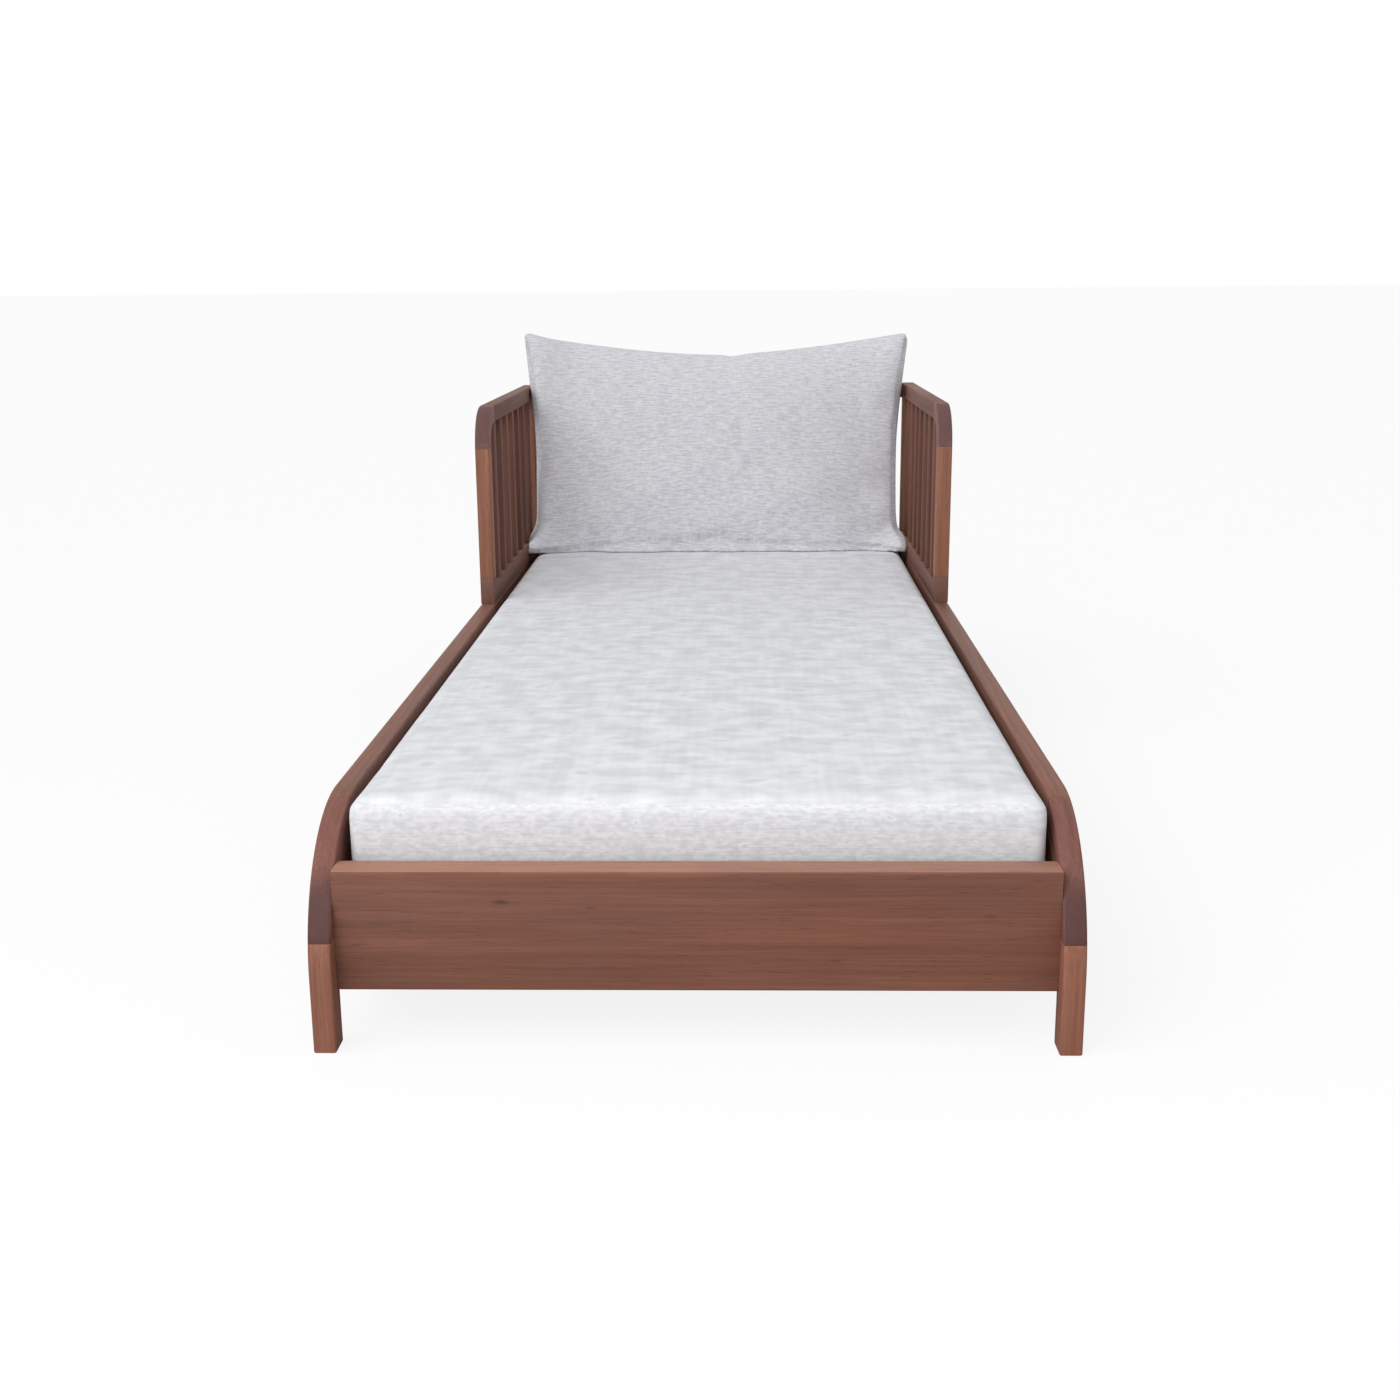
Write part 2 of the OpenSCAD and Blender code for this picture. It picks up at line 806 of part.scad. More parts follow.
on_left() front_leg();  // front_leg_left
front_leg();  // front_leg_right
on_left() corner_block();  // corner_block_left
corner_block();  // corner_block_right
on_left() side_rail();  // side_rail_left
side_rail();  // side_rail_right
on_left() side_board();  // side_board_left
side_board();  // side_board_right
on_left() rear_post();  // rear_post_left
rear_post();  // rear_post_right
front_board();
rear_board();
on_left() arm_post();  // arm_post_left
arm_post();  // arm_post_right
on_left() arm_corner();  // arm_corner_left
arm_corner();  // arm_corner_right
on_left() arm_top_rail();  // arm_top_rail_left
arm_top_rail();  // arm_top_rail_right
on_left() arm_bottom_rail();  // arm_bottom_rail_left
arm_bottom_rail();  // arm_bottom_rail_right
on_left() arm_slats();  // arm_slats_left
arm_slats();  // arm_slats_right
back_top_rail();
back_bottom_rail();
back_slats();
on_left() slat_ledger();  // slat_ledger_left
slat_ledger();  // slat_ledger_right
deck_slats();
frame_dowels();
board_bolts();
barrel_nuts();
ledger_screws();
deck_screws();
mattress();
pillow();
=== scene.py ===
import json
from math import exp, pi, radians, sin

import bmesh
import bpy
from mathutils import Matrix, Vector

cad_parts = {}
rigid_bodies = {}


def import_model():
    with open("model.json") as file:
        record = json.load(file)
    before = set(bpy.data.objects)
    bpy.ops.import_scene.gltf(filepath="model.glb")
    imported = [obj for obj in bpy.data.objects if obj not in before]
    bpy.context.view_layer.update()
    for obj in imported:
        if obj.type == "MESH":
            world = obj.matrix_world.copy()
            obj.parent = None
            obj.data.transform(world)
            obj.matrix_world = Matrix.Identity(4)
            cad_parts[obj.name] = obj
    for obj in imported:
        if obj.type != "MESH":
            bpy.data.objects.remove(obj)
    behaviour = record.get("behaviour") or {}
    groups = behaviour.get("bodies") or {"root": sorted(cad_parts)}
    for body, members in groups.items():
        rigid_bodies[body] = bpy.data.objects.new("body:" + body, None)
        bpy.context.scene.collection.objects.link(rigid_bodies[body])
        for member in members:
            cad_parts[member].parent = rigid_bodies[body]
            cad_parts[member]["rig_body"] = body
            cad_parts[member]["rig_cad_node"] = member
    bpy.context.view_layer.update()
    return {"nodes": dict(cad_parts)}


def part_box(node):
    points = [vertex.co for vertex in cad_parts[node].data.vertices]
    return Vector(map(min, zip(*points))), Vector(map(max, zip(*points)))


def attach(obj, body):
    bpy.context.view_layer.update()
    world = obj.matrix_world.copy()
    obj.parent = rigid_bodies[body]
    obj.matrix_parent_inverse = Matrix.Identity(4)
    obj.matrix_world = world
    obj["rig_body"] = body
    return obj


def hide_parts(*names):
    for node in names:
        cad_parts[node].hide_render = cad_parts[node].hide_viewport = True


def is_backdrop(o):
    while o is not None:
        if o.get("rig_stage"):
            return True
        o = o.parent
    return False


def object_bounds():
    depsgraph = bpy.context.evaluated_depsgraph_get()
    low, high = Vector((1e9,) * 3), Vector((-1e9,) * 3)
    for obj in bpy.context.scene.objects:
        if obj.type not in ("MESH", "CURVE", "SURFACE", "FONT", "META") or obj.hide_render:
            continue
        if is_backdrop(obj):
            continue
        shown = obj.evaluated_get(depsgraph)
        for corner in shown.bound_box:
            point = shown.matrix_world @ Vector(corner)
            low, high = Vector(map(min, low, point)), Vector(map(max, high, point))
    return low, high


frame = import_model()
nodes = frame["nodes"]

# Camera: a standing viewer at the foot of the bed, a little right of its middle and looking
# slightly down. Angles are in degrees, and the focal length is in pixels of the 1400 pixel frame.
view_from = Vector((0.0553, -2.8223, 0.8759))
view_turn = 1.5214
view_down = 14.1664
view_roll = -0.4791
focal_px = 1653.13
frame_px = 1400
film_w = 36

bpy.ops.object.camera_add()
camera = bpy.context.object
camera.data.sensor_width = film_w
camera.data.lens = film_w * focal_px / frame_px
camera.matrix_world = (
    Matrix.Translation(view_from)
    @ Matrix.Rotation(radians(view_turn), 4, "Z")
    @ Matrix.Rotation(radians(90 - view_down), 4, "X")
    @ Matrix.Rotation(radians(view_roll), 4, "Z")
)
bpy.context.scene.camera = camera


# Studio: a wide pale floor that runs out into a white surround, a broad key light from high on the
# left, and a large soft box behind the viewer, which lights the foot of the bed more than its head.
class Wire:
    """One socket of a material or world, with the arithmetic that the finishes need."""

    def __init__(self, socket):
        self.socket = socket

    def add(self, kind, settings=None, inputs=None, out=0):
        """A new node: its settings first, then the values or wires of its inputs."""
        tree = self.socket.id_data
        node = tree.nodes.new(kind)
        for name, value in (settings or {}).items():
            setattr(node, name, value)
        for key, value in (inputs or {}).items():
            if isinstance(value, Wire):
                tree.links.new(value.socket, node.inputs[key])
            else:
                node.inputs[key].default_value = value
        return Wire(node.outputs[out])

    def output(self, name):
        """Another output of the node that this wire comes from."""
        return Wire(self.socket.node.outputs[name])

    def maths(self, operation, *others):
        inputs = dict(enumerate((self, *others)))
        return self.add("ShaderNodeMath", {"operation": operation}, inputs)

    def vector_maths(self, operation, *others, out=0):
        inputs = dict(enumerate((self, *others)))
        return self.add("ShaderNodeVectorMath", {"operation": operation}, inputs, out)

    def __add__(self, other):
        return self.maths("ADD", other)

    def __sub__(self, other):
        return self.maths("SUBTRACT", other)

    def __rsub__(self, other):
        return self.add("ShaderNodeMath", {"operation": "SUBTRACT"}, {0: other, 1: self})

    def __mul__(self, other):
        return self.maths("MULTIPLY", other)

    __radd__ = __add__
    __rmul__ = __mul__

    def less(self, other):
        """This place, as seen from another."""
        return self.vector_maths("SUBTRACT", other)

    def plus(self, other):
        """The sum of two vectors."""
        return self.vector_maths("ADD", other)

    def dot(self, way):
        """How far this vector goes along another."""
        return self.vector_maths("DOT_PRODUCT", way, out=1)

    def length(self):
        return self.vector_maths("LENGTH", out=1)

    def scaled(self, number):
        return self.add("ShaderNodeVectorMath", {"operation": "SCALE"}, {0: self, 3: number})

    def along(self, way):
        """A vector in the given direction, as long as this value."""
        return self.add("ShaderNodeVectorMath", {"operation": "SCALE"}, {0: way, 3: self})

    def span(self, low, high, new_low=0.0, new_high=1.0):
        """This value, from low and high to new_low and new_high, and no further."""
        inputs = {0: self, 1: low, 2: high, 3: new_low, 4: new_high}
        return self.add("ShaderNodeMapRange", {"interpolation_type": "SMOOTHSTEP"}, inputs)

    def pick(self, first, second):
        """The first colour where this value is 0, the second where it is 1."""
        # A Mix node's sockets of different kinds share their names, so these go by number.
        inputs = {0: self, 6: first, 7: second}
        return self.add("ShaderNodeMix", {"data_type": "RGBA", "clamp_factor": True}, inputs, out=2)


def tone(red, green, blue):
    """A colour as a paint chart gives it, from 0 to 255, for a shader socket."""
    def linear(c):
        c /= 255
        return ((c + 0.055) / 1.055) ** 2.4 if c > 0.04045 else c / 12.92
    return (linear(red), linear(green), linear(blue), 1.0)


def new_material(name):
    """An empty material with one shader: the material, and its object coordinates as a wire."""
    material = bpy.data.materials.new(name)
    material.use_nodes = True
    place = material.node_tree.nodes.new("ShaderNodeTexCoord")
    return material, Wire(place.outputs["Object"])


def dress(material, **looks):
    """Sets the sockets of the material's shader, by plain values or by wires."""
    shader = material.node_tree.nodes["Principled BSDF"]
    for name, value in looks.items():
        socket = shader.inputs[name.replace("_", " ")]
        if isinstance(value, Wire):
            material.node_tree.links.new(value.socket, socket)
        else:
            socket.default_value = value


white = (1.0, 1.0, 1.0, 1.0)
floor_size = 400
floor_tone = tone(196, 196, 198)
floor_glow = 0.86
sky_tint = (0.985, 0.99, 1.0, 1.0)
sky_strength = 0.5
key_from = Vector((-0.75, -0.35, 1.0))
key_strength = 1.0
key_spread = radians(40)
box_from = Vector((-0.7, -3.4, 1.8))
box_at = Vector((0, -0.9, 0.3))
box_power = 46
box_size = 2.2


def lit_from(way):
    """The turn of a lamp that shines from a direction."""
    return (-way).to_track_quat("-Z", "Y").to_euler()


bpy.ops.mesh.primitive_plane_add(size=floor_size)
floor = bpy.context.object
floor.name = "floor"
floor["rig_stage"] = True
floor_paint, start = new_material("floor_paint")
seen = start.add("ShaderNodeLightPath", out="Is Camera Ray")
dress(floor_paint, Base_Color=seen.pick(floor_tone, white), Roughness=1.0, Specular_IOR_Level=0.0)
matt = Wire(floor_paint.node_tree.nodes["Principled BSDF"].outputs[0])
glow = start.add("ShaderNodeEmission", inputs={"Color": white, "Strength": 1.0})
shade = start.add("ShaderNodeMixShader", inputs={0: seen * floor_glow, 1: matt, 2: glow})
output = floor_paint.node_tree.nodes["Material Output"]
floor_paint.node_tree.links.new(shade.socket, output.inputs["Surface"])
floor.data.materials.append(floor_paint)

world = bpy.data.worlds.new("surround")
bpy.context.scene.world = world
world.use_nodes = True
sky = world.node_tree.nodes["Background"]
sky.inputs["Color"].default_value = sky_tint
sky.inputs["Strength"].default_value = sky_strength
start = Wire(sky.outputs[0])
backdrop = start.add("ShaderNodeBackground", inputs={"Color": white, "Strength": 1.0})
camera_ray = start.add("ShaderNodeLightPath", out="Is Camera Ray")
shown = camera_ray.maths("MAXIMUM", camera_ray.output("Is Glossy Ray"))
shown = shown.maths("MAXIMUM", camera_ray.output("Is Transmission Ray"))
both = start.add("ShaderNodeMixShader", inputs={0: shown, 1: start, 2: backdrop})
world.node_tree.links.new(both.socket, world.node_tree.nodes["World Output"].inputs["Surface"])

bpy.ops.object.light_add(type="SUN", rotation=lit_from(key_from))
key = bpy.context.object
key.name = "key"
key.data.energy = key_strength
key.data.angle = key_spread

bpy.ops.object.light_add(type="AREA", location=box_from, rotation=lit_from(box_from - box_at))
soft_box = bpy.context.object
soft_box.name = "soft_box"
soft_box.data.energy = box_power
soft_box.data.size = box_size
bpy.context.scene.view_settings.view_transform = "Standard"


# Timber: a close brown hardwood, oiled to a dull satin, with growth rings round a heart that lies
# off the piece, fine fibres and short dark pores. Where a face cuts across the fibres it drinks
# more oil and turns a dark purple brown, which is how the sawn corner blocks get their shading.
axis_x, axis_y, axis_z = Vector((1, 0, 0)), Vector((0, 1, 0)), Vector((0, 0, 1))

# Bands that nearly all, and most, of a noise's values lie in.
usual = (0.3, 0.7)
middling = (0.35, 0.65)

# Shades of fine marks, how far the rings wander in metres, and how much like pieces differ.
fibre_shade = (0.06, 0.03, 0.022, 1)
pore_shade = (0.03, 0.016, 0.012, 1)
knot_shade = (0.03, 0.015, 0.012, 1)
warm_shift = (34, 8, -4)
ring_wander = (0.06, 0.007)
own_heart = 0.4
own_tone = 0.35
side_jump = 37.0


def timber(
    name, along, light, dark, heart, rings=110, figure=0.3, cut=(66, 46, 44), cut_mix=0.75,
    cut_from=0.45, cut_to=0.9, row=None, edge=None, knots=(),
):
    """
    A wood whose fibres run along a direction, its rings round a line through the heart, so many
    to the metre, with figure as their share of its look. cut is the tone of end grain: none of it
    shows where a face is turned to the fibres by less than cut_from, and cut_mix of it past cut_to.
    A row is the way, start and pitch of like pieces, and each piece then has its own tone and
    rings. An edge is a tone for faces that look up, partly the wood's own and partly painted
    light from above on them. Knots are places, each with its size, how little its length along x
    counts, and how dark it is.
    """
    material, place = new_material(name)
    fibre = along.normalized()
    run = place.less(heart).dot(fibre)
    lengthways = run.along(fibre)
    across = place.less(heart).less(lengthways)

    def stretched(fine, lengthwise, detail):
        """Noise drawn out along the fibres: its fineness across and along them, per metre."""
        spot = across.scaled(fine).plus(lengthways.scaled(lengthwise))
        inputs = {"Vector": spot, "Scale": 1.0, "Detail": detail, "Roughness": 0.55}
        return place.add("ShaderNodeTexNoise", inputs=inputs)

    wander = stretched(3, 1.1, 2.0) * ring_wander[0] + stretched(20, 2, 1.0) * ring_wander[1]
    from_heart = across.length() + wander
    if row:
        way, first, pitch = row
        number = ((place.dot(way) - first) * (1 / pitch)).maths("FLOOR")
        side = place.dot(axis_x).maths("GREATER_THAN", 0.0) * side_jump
        own = place.add(
            "ShaderNodeTexWhiteNoise", {"noise_dimensions": "1D"}, {"W": number + side}
        )
        from_heart = from_heart + own * own_heart
    ring = place.add(
        "ShaderNodeTexNoise",
        {"noise_dimensions": "1D"},
        {"W": from_heart * rings, "Scale": 1.0, "Detail": 2.0, "Roughness": 0.5},
    )
    fine = stretched(380, 8, 2.0)
    streak = stretched(60, 1.5, 3.0)
    drift = stretched(6, 1.3, 2.0)
    blotch = stretched(14, 5, 2.0)
    pores = stretched(800, 34, 1.0).span(0.64, 0.74)

    # Tone: these four shares add up to 1.
    depth = (
        ring.span(0.32, 0.68) * figure
        + streak.span(*usual) * (0.5 - figure / 2)
        + drift.span(*usual) * (0.3 - figure / 4)
        + blotch.span(*usual) * (0.2 - figure / 4)
    )
    if row:
        depth = depth * (1 - own_tone) + own * own_tone
    colour = depth.pick(tone(*dark), tone(*light))
    reddish = tone(*(old + more for old, more in zip(dark, warm_shift)))
    colour = drift.span(*middling, 0.0, 0.22).pick(colour, reddish)

    # Marks: knots, a paler or darker edge, end grain, fibres and pores, each over the last.
    for spot, size, along_x, shade in knots:
        away = place.less(spot).vector_maths("MULTIPLY", (along_x, 1, 1)).length()
        away = away + streak * 0.008
        dark_spot = away.span(0.003 + size, 0.005 + 2.2 * size, shade, 0.0)
        colour = dark_spot.pick(colour, knot_shade)
    facing = place.output("Normal")
    # Faces that look up take the edge tone: partly the wood's own, partly painted light from above
    # on them.
    if edge:
        colour = facing.dot(axis_z).span(0.7, 0.95, 0.0, 0.8).pick(colour, tone(*edge))
    end = facing.dot(fibre).maths("ABSOLUTE") + (blotch - 0.5) * 0.25
    colour = end.span(cut_from, cut_to, 0.0, cut_mix).pick(colour, tone(*cut))
    colour = fine.span(*middling, 0.2, 0.0).pick(colour, fibre_shade)
    colour = (pores * 0.35).pick(colour, pore_shade)
    height = fine * 0.5 - pores * 0.8 + ring * 0.2
    bump = {"Strength": 0.3, "Distance": 0.0006, "Height": height}
    dress(
        material,
        Base_Color=colour,
        Roughness=streak.span(*usual, 0.52, 0.64),
        Normal=place.add("ShaderNodeBump", inputs=bump),
        Specular_IOR_Level=0.16,
    )
    return material


def only(piece):
    """Selects this piece alone, in object mode."""
    bpy.ops.object.select_all(action="DESELECT")
    piece.hide_set(False)
    piece.select_set(True)
    bpy.context.view_layer.objects.active = piece


def choose(kind, test):
    """In edit mode, selects the faces or edges that pass the test on their middle and direction."""
    bpy.ops.mesh.select_mode(type=kind)
    bpy.ops.mesh.select_all(action="DESELECT")
    mesh = bmesh.from_edit_mesh(bpy.context.edit_object.data)
    mesh.normal_update()
    for part in mesh.faces if kind == "FACE" else mesh.edges:
        if kind == "FACE":
            middle, way = part.calc_center_median(), part.normal
        else:
            a, b = (v.co for v in part.verts)
            middle, way = (a + b) / 2, (b - a).normalized()
        if test(middle, way):
            part.select_set(True)
    bmesh.update_edit_mesh(bpy.context.edit_object.data)


def finished(piece, name, material, slot, *stands_for):
    """Names a rigid piece, smooths its rounds, gives it its finish, sets it on the bedstead, and
    hides the nodes it stands for.
    """
    smooth_angle = radians(28)
    only(piece)
    piece.name = name
    piece.data.materials.clear()
    piece.data.materials.append(material)
    bpy.ops.object.shade_smooth_by_angle(angle=smooth_angle)
    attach(piece, "bedstead")
    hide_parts(*stands_for)
    return piece


def turned_out(piece):
    """Turns all faces of a closed piece outwards."""
    only(piece)
    bpy.ops.object.mode_set(mode="EDIT")
    bpy.ops.mesh.select_all(action="SELECT")
    bpy.ops.mesh.normals_make_consistent(inside=False)
    bpy.ops.object.mode_set(mode="OBJECT")
    return piece


def mirrored(piece):
    """A copy of a piece for the other side of the bed."""
    only(piece)
    bpy.ops.object.duplicate()
    twin = bpy.context.object
    twin.scale.x = -1
    bpy.ops.object.transform_apply(location=False, rotation=False, scale=True)
    return turned_out(twin)


def pair(piece, part, wood, slot):
    """Finishes a piece of the right side, and its mirror image for the left."""
    twin = mirrored(piece)
    finished(piece, part + "_piece_right", wood, slot, part + "_right")
    finished(twin, part + "_piece_left", wood, slot, part + "_left")


# Side frames: each is a front leg, a curved corner block sawn from a thick board, and a long
# side rail, dowelled end to end and rounded along their edges as one bar. The bar is swept up,
# round the corner and back, and then sawn at its two joints.
edge_round = 0.003
edge_steps = 4
joint_chamfer = 0.0006
foot_chamfer = 0.002
corner_radius = 0.180
corner_steps = 28
merge_reach = 0.00001
leg_low, leg_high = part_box("front_leg_right")
block_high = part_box("corner_block_right")[1]
rail_low, rail_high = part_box("side_rail_right")
post_low, post_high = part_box("rear_post_right")
stick_w = rail_high.x - rail_low.x
leg_depth = post_high.y - post_low.y


def bent_bar(foot, top, start, end, depth, radius):
    """A bar with rounded edges: from a foot up, round a quarter circle and back, open-ended."""
    middle_x = (rail_low.x + rail_high.x) / 2
    bpy.ops.object.select_all(action="DESELECT")
    bpy.ops.mesh.primitive_plane_add(size=1, location=(middle_x, start + depth / 2, foot))
    bar = bpy.context.object
    bar.scale = (stick_w, depth, 1)
    bpy.ops.object.transform_apply(location=True, rotation=False, scale=True)
    bpy.ops.object.mode_set(mode="EDIT")
    bpy.ops.mesh.select_all(action="SELECT")
    bpy.ops.mesh.bevel(offset=edge_round, segments=edge_steps + 1, affect="VERTICES")
    bpy.ops.mesh.select_all(action="SELECT")
    bpy.ops.mesh.delete(type="ONLY_FACE")
    bpy.ops.mesh.select_all(action="SELECT")
    bpy.ops.mesh.extrude_edges_move(TRANSFORM_OT_translate={"value": (0, 0, top - radius - foot)})
    bpy.ops.mesh.spin(
        steps=corner_steps,
        angle=pi / 2,
        center=(middle_x, start + radius, top - radius),
        axis=(1, 0, 0),
    )
    bpy.ops.mesh.extrude_edges_move(TRANSFORM_OT_translate={"value": (0, end - start - radius, 0)})
    bpy.ops.mesh.select_all(action="SELECT")
    bpy.ops.mesh.remove_doubles(threshold=merge_reach)
    bpy.ops.object.mode_set(mode="OBJECT")
    return bar


def sawn(bar, *cuts):
    """A copy of the bar, cut at planes, each a point and the way that is cut off, and closed."""
    only(bar)
    bpy.ops.object.duplicate()
    piece = bpy.context.object
    bpy.ops.object.mode_set(mode="EDIT")
    for point, away in cuts:
        bpy.ops.mesh.select_all(action="SELECT")
        bpy.ops.mesh.bisect(plane_co=point, plane_no=away, clear_outer=True)
    bpy.ops.mesh.select_all(action="SELECT")
    bpy.ops.mesh.fill_holes(sides=0)
    bpy.ops.object.mode_set(mode="OBJECT")
    return turned_out(piece)


def soften_ends(piece, size, test=lambda middle: True):
    """Eases the sharp edges round a piece's end faces, those whose middle passes the test."""
    sharp_angle = radians(50)
    only(piece)
    bpy.ops.object.mode_set(mode="EDIT")
    mesh = bmesh.from_edit_mesh(piece.data)
    bpy.ops.mesh.select_mode(type="EDGE")
    bpy.ops.mesh.select_all(action="DESELECT")
    for edge in mesh.edges:
        sharp = edge.is_manifold and edge.calc_face_angle(0) > sharp_angle
        if sharp and test((edge.verts[0].co + edge.verts[1].co) / 2):
            edge.select_set(True)
    bmesh.update_edit_mesh(piece.data)
    bpy.ops.mesh.bevel(offset=size, segments=2, affect="EDGES")
    bpy.ops.object.mode_set(mode="OBJECT")
    return piece


leg_joint = Vector((0, 0, leg_high.z))
rail_joint = Vector((0, block_high.y, 0))
side_bar = bent_bar(0.0, rail_high.z, leg_low.y, rail_high.y, leg_depth, corner_radius)

leg_wood = timber("leg_timber", axis_z, (168, 117, 97), (134, 88, 72), (0.30, -1.20, 0), rings=120)
block_wood = timber(
    "corner_timber", Vector((0, 0.92, 0.38)), (143, 100, 91), (112, 77, 70), (0.36, -0.70, 0.4),
    rings=130, cut=(94, 65, 63), cut_mix=0.95, cut_from=0.42, cut_to=0.64,
)
rail_wood = timber("rail_timber", axis_y, (150, 108, 93), (114, 79, 68), (0.20, 0, 0.10), rings=110)

leg = sawn(side_bar, (leg_joint, axis_z))
soften_ends(leg, foot_chamfer, lambda middle: middle.z < leg_high.z / 2)
soften_ends(leg, joint_chamfer, lambda middle: middle.z > leg_high.z / 2)
block = sawn(side_bar, (leg_joint, -axis_z), (rail_joint, axis_y))
soften_ends(block, joint_chamfer)
rail = sawn(side_bar, (rail_joint, -axis_y))
soften_ends(rail, joint_chamfer)
bpy.data.objects.remove(side_bar)
for piece, part, wood, slot in (
    (leg, "front_leg", leg_wood, "leg_wood"),
    (block, "corner_block", block_wood, "corner_wood"),
    (rail, "side_rail", rail_wood, "rail_wood"),
):
    pair(piece, part, wood, slot)

# Arms: bent like the side frames, with a smaller corner. Each arm's post stands on the heel of
# its bottom rail, which lies on the side rail and runs back to the rear post.
arm_radius = 0.080
arm_low, arm_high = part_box("arm_post_right")
arm_rail_low, arm_rail_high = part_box("arm_top_rail_right")
arm_depth = arm_rail_high.z - arm_rail_low.z
arm_post_top = Vector((0, 0, arm_high.z))
arm_rail_start = Vector((0, arm_rail_low.y, 0))

arm_bar = bent_bar(arm_low.z, arm_rail_high.z, arm_low.y, arm_rail_high.y, arm_depth, arm_radius)
arm_post_wood = timber(
    "arm_post_timber", axis_z, (180, 128, 104), (146, 97, 78), (0.55, 0.20, 0), rings=120
)
arm_block_wood = timber(
    "arm_corner_timber", axis_z - axis_y, (158, 118, 110), (122, 88, 82), (0.50, 0.30, 0.50),
    rings=140, cut=(108, 80, 79), cut_mix=0.9, cut_from=0.6,
)
arm_rail_wood = timber(
    "arm_rail_timber", axis_y, (146, 108, 95), (108, 76, 66), (0.60, 0, 0.50), rings=110
)

arm_post = sawn(arm_bar, (arm_post_top, axis_z))
arm_block = sawn(arm_bar, (arm_post_top, -axis_z), (arm_rail_start, axis_y))
arm_rail = sawn(arm_bar, (arm_rail_start, -axis_y))
bpy.data.objects.remove(arm_bar)
for piece, part, wood, slot in (
    (arm_post, "arm_post", arm_post_wood, "leg_wood"),
    (arm_block, "arm_corner", arm_block_wood, "corner_wood"),
    (arm_rail, "arm_top_rail", arm_rail_wood, "rail_wood"),
):
    soften_ends(piece, joint_chamfer)
    pair(piece, part, wood, slot)


# Arms' bottom rails: flat sticks that lie on the side rails. The front end is left higher, as a
# heel that carries the post, and its upright edges are rounded to meet the post's.
def block_between(low, high):
    """A plain block between two corners, to be shaped."""
    bpy.ops.object.select_all(action="DESELECT")
    bpy.ops.mesh.primitive_cube_add(size=1, location=(low + high) / 2, scale=high - low)
    bpy.ops.object.transform_apply(location=True, rotation=False, scale=True)
    return bpy.context.object


base_low, base_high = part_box("arm_bottom_rail_right")
base_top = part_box("back_bottom_rail")[1].z
heel_back = arm_low.y + arm_depth
base_rail = block_between(base_low, Vector((base_high.x, base_high.y, base_top)))
bpy.ops.object.mode_set(mode="EDIT")
bpy.ops.mesh.select_all(action="SELECT")
bpy.ops.mesh.bisect(plane_co=(0, heel_back, 0), plane_no=axis_y)
choose("FACE", lambda middle, way: way.z > 0.9 and middle.y < heel_back)
heel_rise = (0, 0, base_high.z - base_top)
bpy.ops.mesh.extrude_region_move(TRANSFORM_OT_translate={"value": heel_rise})
choose(
    "EDGE",
    lambda middle, way: abs(way.z) > 0.9 or (abs(way.y) > 0.9 and middle.z < base_top + edge_round),
)
bpy.ops.mesh.bevel(offset=edge_round, segments=edge_steps, affect="EDGES")
bpy.ops.object.mode_set(mode="OBJECT")
soften_ends(base_rail, joint_chamfer)
base_wood = timber(
    "base_rail_timber", axis_y, (140, 101, 86), (106, 73, 62), (0.55, 0, 0.15),
    rings=110, cut=(134, 98, 87),
)
pair(base_rail, "arm_bottom_rail", base_wood, "rail_wood")


# Rear posts and the back's rails: planed sticks of the arms' width, with their long edges rounded.
# The posts stand on the floor, and the rails are dowelled in between them.
def rounded(piece, size, test):
    """Rounds the edges of a piece that pass the test on their middle and direction."""
    only(piece)
    bpy.ops.object.mode_set(mode="EDIT")
    choose("EDGE", test)
    bpy.ops.mesh.bevel(offset=size, segments=edge_steps, affect="EDGES")
    bpy.ops.object.mode_set(mode="OBJECT")


def stick(low, high, along):
    """A straight stick between two corners, rounded along x, y or z and eased at its ends."""
    piece = block_between(low, high)
    rounded(piece, edge_round, lambda middle, way: abs(way.dot(along)) > 0.9)
    return soften_ends(piece, joint_chamfer)


rear_wood = timber("rear_timber", axis_x, (146, 106, 91), (110, 76, 65), (0, 1.15, 0.20), rings=80)
for node, along, wood, slot in (
    ("rear_post_left", axis_z, arm_post_wood, "leg_wood"),
    ("rear_post_right", axis_z, arm_post_wood, "leg_wood"),
    ("back_top_rail", axis_x, rear_wood, "rail_wood"),
    ("back_bottom_rail", axis_x, rear_wood, "rail_wood"),
):
    finished(stick(*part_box(node), along), node + "_piece", wood, slot, node)

# Boards: the front board is one broad flat-sawn plank with a paler upper edge, bored from behind
# for its barrel nuts. Its upper edge is partly paler wood and partly a painted highlight of the
# light from above. Its marks are two pin knots and a darker band along its lower half. The side
# boards and the rear board keep their solids.
front_low, front_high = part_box("front_board")

# Each mark is a place, a size, how little its length along x counts, and how dark it is.
board_marks = (
    ((-0.226, front_low.y, 0.181), 0.002, 0.3, 0.55),
    ((-0.122, front_low.y, 0.174), 0.0012, 0.3, 0.55),
    ((0.0, front_low.y, 0.106), 0.012, 0.01, 0.13),
)
# Its edge tone, on the faces that look up, is paler wood with a painted highlight of the light from
# above.
front_wood = timber(
    "front_board_timber", axis_x, (143, 99, 83), (113, 75, 62), (0, -0.93, 0.06),
    rings=45, figure=0.22, edge=(184, 137, 117), knots=board_marks,
)
board_wood = timber("board_timber", axis_y, (138, 98, 82), (108, 74, 61), (0.30, 0, 0.12), rings=80)


